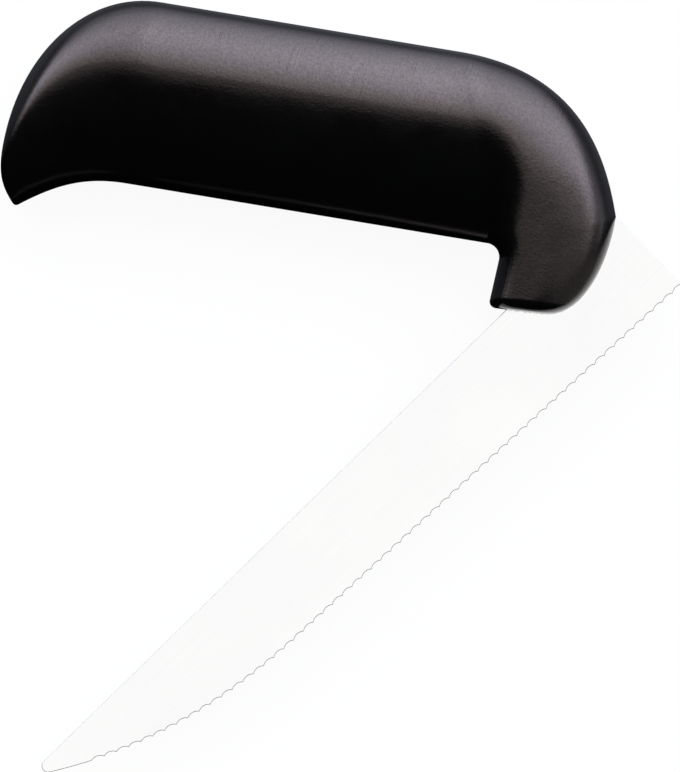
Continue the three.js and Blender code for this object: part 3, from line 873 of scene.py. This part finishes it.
# tunnel of light along X: dark on the finger side, brighter from overhead to the palm side
tunnel = {
    "from": -20.0,  # degrees round the tunnel, from overhead towards the palm side
    "to": 180.0,
    "levels": [
        (-20, 0.005), (-9, 0.01), (-7, 0.45), (0, 0.45), (4, 1.5), (10, 2.1), (18, 2.95),
        (30, 4.05), (43, 4.75), (56, 4.9), (71, 4.15), (88, 3.05), (108, 1.35), (125, 0.87),
        (150, 1.1), (170, 0.5), (180, 0.05),
    ],
    "peak": 4.9,  # the brightest of them
    "tint": (0.80, 0.85, 1.0),  # the light turns cool away from overhead
    "tintFull": 30.0,  # degrees at which it has this tint
    "fades": [(-0.08, 0.03, 0.66), (0.13, 0.02, 0.76)],  # it weakens to these shares, left and right
    "fadeRise": (0.02, 0.12),  # but only from this part along Y on
    "creaseSlope": 0.48,  # right of a line with this slant it weakens once more
    "crease": (-0.06, 0.01, 0.62),
    "creaseRight": (0.12, 0.3),  # but only from this part along X on
    "creaseHeight": (0.5, 0.75),  # and only overhead
    "sides": [(1.0, -0.35), (-0.9, -0.6)],  # shares of X and Y that count as right and left
    "sideways": (0.0, 1.0),  # part of that over which the tunnel's lower edge rises
    "edge": (-0.5, 0.55),  # height of that edge, straight across and sideways
    "soft": 0.2,  # half the height over which the light fades at that edge
    "belowEdge": 0.22,  # share of it that is left below
    "glow": 0.25,  # weak light from the right
    "glowLean": 0.8,  # it ends at this slope towards the finger side
    "glowAcross": (0.1, 0.35),
    "glowAlong": (-0.02, -0.1),
    "surround": (0.5, 1.0),  # what the buffed flat mirrors: grey low down, white overhead
    "surroundHeight": (0.3, 0.97),
}
world = bpy.data.worlds.new("studio")
world.use_nodes = True
tree = world.node_tree
tree.nodes.clear()
way = addNode(tree, "ShaderNodeTexCoord")
parts = addNode(tree, "ShaderNodeSeparateXYZ", {}, {}, {0: way.outputs["Generated"]})
turn = addNode(
    tree, "ShaderNodeMath", {"operation": "ARCTAN2"}, {},
    {0: parts.outputs["Y"], 1: parts.outputs["Z"]},
)
across = addNode(
    tree, "ShaderNodeMapRange", {},
    limits((math.radians(tunnel["from"]), math.radians(tunnel["to"]))), {"Value": turn.outputs[0]},
)
ramp = addNode(tree, "ShaderNodeValToRGB", {}, {}, {0: across.outputs[0]})
stops = ramp.color_ramp.elements
while len(stops) < len(tunnel["levels"]):
    stops.new(0.5)
meanTint = sum(tunnel["tint"]) / 3
for stop, (angle, _) in zip(stops, tunnel["levels"]):
    stop.position = (angle - tunnel["from"]) / (tunnel["to"] - tunnel["from"])
for stop, (angle, level) in zip(stops, tunnel["levels"]):
    cool = min(max(angle / tunnel["tintFull"], 0), 1)
    tints = [1 + (t / meanTint - 1) * cool for t in tunnel["tint"]]
    stop.color = (*[level / tunnel["peak"] * t for t in tints], 1)
# the tunnel's lower edge rises at its two sides
sides = []
for acrossShare, alongShare in tunnel["sides"]:
    leaning = addNode(tree, "ShaderNodeMath", times, {1: alongShare}, {0: parts.outputs["Y"]})
    side = addNode(
        tree, "ShaderNodeMath", timesPlus, {1: acrossShare},
        {0: parts.outputs["X"], 2: leaning.outputs[0]},
    )
    sides.append(side.outputs[0])
aside = addNode(tree, "ShaderNodeMath", {"operation": "MAXIMUM"}, {}, {0: sides[0], 1: sides[1]})
lift = addNode(
    tree, "ShaderNodeMapRange", smooth, limits(tunnel["sideways"], tunnel["edge"]),
    {"Value": aside.outputs[0]},
)
above = addNode(
    tree, "ShaderNodeMath", {"operation": "SUBTRACT"}, {},
    {0: parts.outputs["Z"], 1: lift.outputs[0]},
)
strength = addNode(
    tree, "ShaderNodeMapRange", smooth,
    limits(
        (-tunnel["soft"], tunnel["soft"]), (tunnel["peak"] * tunnel["belowEdge"], tunnel["peak"])
    ),
    {"Value": above.outputs[0]},
)
# the light weakens to the left, to the right and beyond the slanting crease
rise = addNode(
    tree, "ShaderNodeMapRange", smooth, limits(tunnel["fadeRise"]), {"Value": parts.outputs["Y"]}
)
for far, near, share in tunnel["fades"]:
    fade = addNode(
        tree, "ShaderNodeMapRange", smooth, limits((far, near), (share, 1)),
        {"Value": parts.outputs["X"]},
    )
    fade = addNode(tree, "ShaderNodeMix", {}, {2: 1}, {0: rise.outputs[0], 3: fade.outputs[0]})
    strength = addNode(
        tree, "ShaderNodeMath", times, {}, {0: strength.outputs[0], 1: fade.outputs[0]}
    )
slant = addNode(
    tree, "ShaderNodeMath", timesPlus, {1: -tunnel["creaseSlope"]},
    {0: parts.outputs["X"], 2: parts.outputs["Y"]},
)
far, near, share = tunnel["crease"]
crease = addNode(
    tree, "ShaderNodeMapRange", smooth, limits((far, near), (share, 1)), {"Value": slant.outputs[0]}
)
overhead = addNode(
    tree, "ShaderNodeMapRange", smooth, limits(tunnel["creaseHeight"]),
    {"Value": parts.outputs["Z"]},
)
overhead = addNode(
    tree, "ShaderNodeMapRange", smooth, limits(tunnel["creaseRight"]),
    {"Value": parts.outputs["X"], "To Max": overhead.outputs[0]},
)
crease = addNode(tree, "ShaderNodeMix", {}, {2: 1}, {0: overhead.outputs[0], 3: crease.outputs[0]})
strength = addNode(
    tree, "ShaderNodeMath", times, {}, {0: strength.outputs[0], 1: crease.outputs[0]}
)
sky = addNode(
    tree, "ShaderNodeBackground", {}, {}, {"Color": ramp.outputs[0], "Strength": strength.outputs[0]}
)
# a weak glow from the right, which shows in the leg's flank
lean = addNode(
    tree, "ShaderNodeMath", timesPlus, {1: tunnel["glowLean"]},
    {0: parts.outputs["Y"], 2: parts.outputs["X"]},
)
inside = addNode(
    tree, "ShaderNodeMapRange", smooth, limits(tunnel["glowAcross"], (0, tunnel["glow"])),
    {"Value": lean.outputs[0]},
)
beside = addNode(
    tree, "ShaderNodeMapRange", smooth, limits(tunnel["glowAlong"]), {"Value": parts.outputs["Y"]}
)
glow = addNode(tree, "ShaderNodeMath", times, {}, {0: inside.outputs[0], 1: beside.outputs[0]})
glow = addNode(tree, "ShaderNodeBackground", {}, {"Color": white}, {"Strength": glow.outputs[0]})
sky = addNode(tree, "ShaderNodeAddShader", {}, {}, {0: sky.outputs[0], 1: glow.outputs[0]})
# a buffed flat mirrors the plain surround instead of the tunnel's light and dark sides,
# and the camera sees white
rays = addNode(tree, "ShaderNodeLightPath")
shade = addNode(
    tree, "ShaderNodeMapRange", smooth, limits(tunnel["surroundHeight"], tunnel["surround"]),
    {"Value": parts.outputs["Z"]},
)
mirrored = addNode(tree, "ShaderNodeBackground", {}, {"Color": white}, {"Strength": shade.outputs[0]})
mix = addNode(
    tree, "ShaderNodeMixShader", {}, {},
    {0: rays.outputs["Is Singular Ray"], 1: sky.outputs[0], 2: mirrored.outputs[0]},
)
bare = addNode(tree, "ShaderNodeBackground", {}, {"Color": white, "Strength": 1})
mix = addNode(
    tree, "ShaderNodeMixShader", {}, {},
    {0: rays.outputs["Is Camera Ray"], 1: mix.outputs[0], 2: bare.outputs[0]},
)
addNode(tree, "ShaderNodeOutputWorld", {}, {}, {"Surface": mix.outputs[0]})
bpy.context.scene.world = world
bpy.context.scene.view_settings.view_transform = "Standard"
print("light: tunnel with", len(stops), "levels")
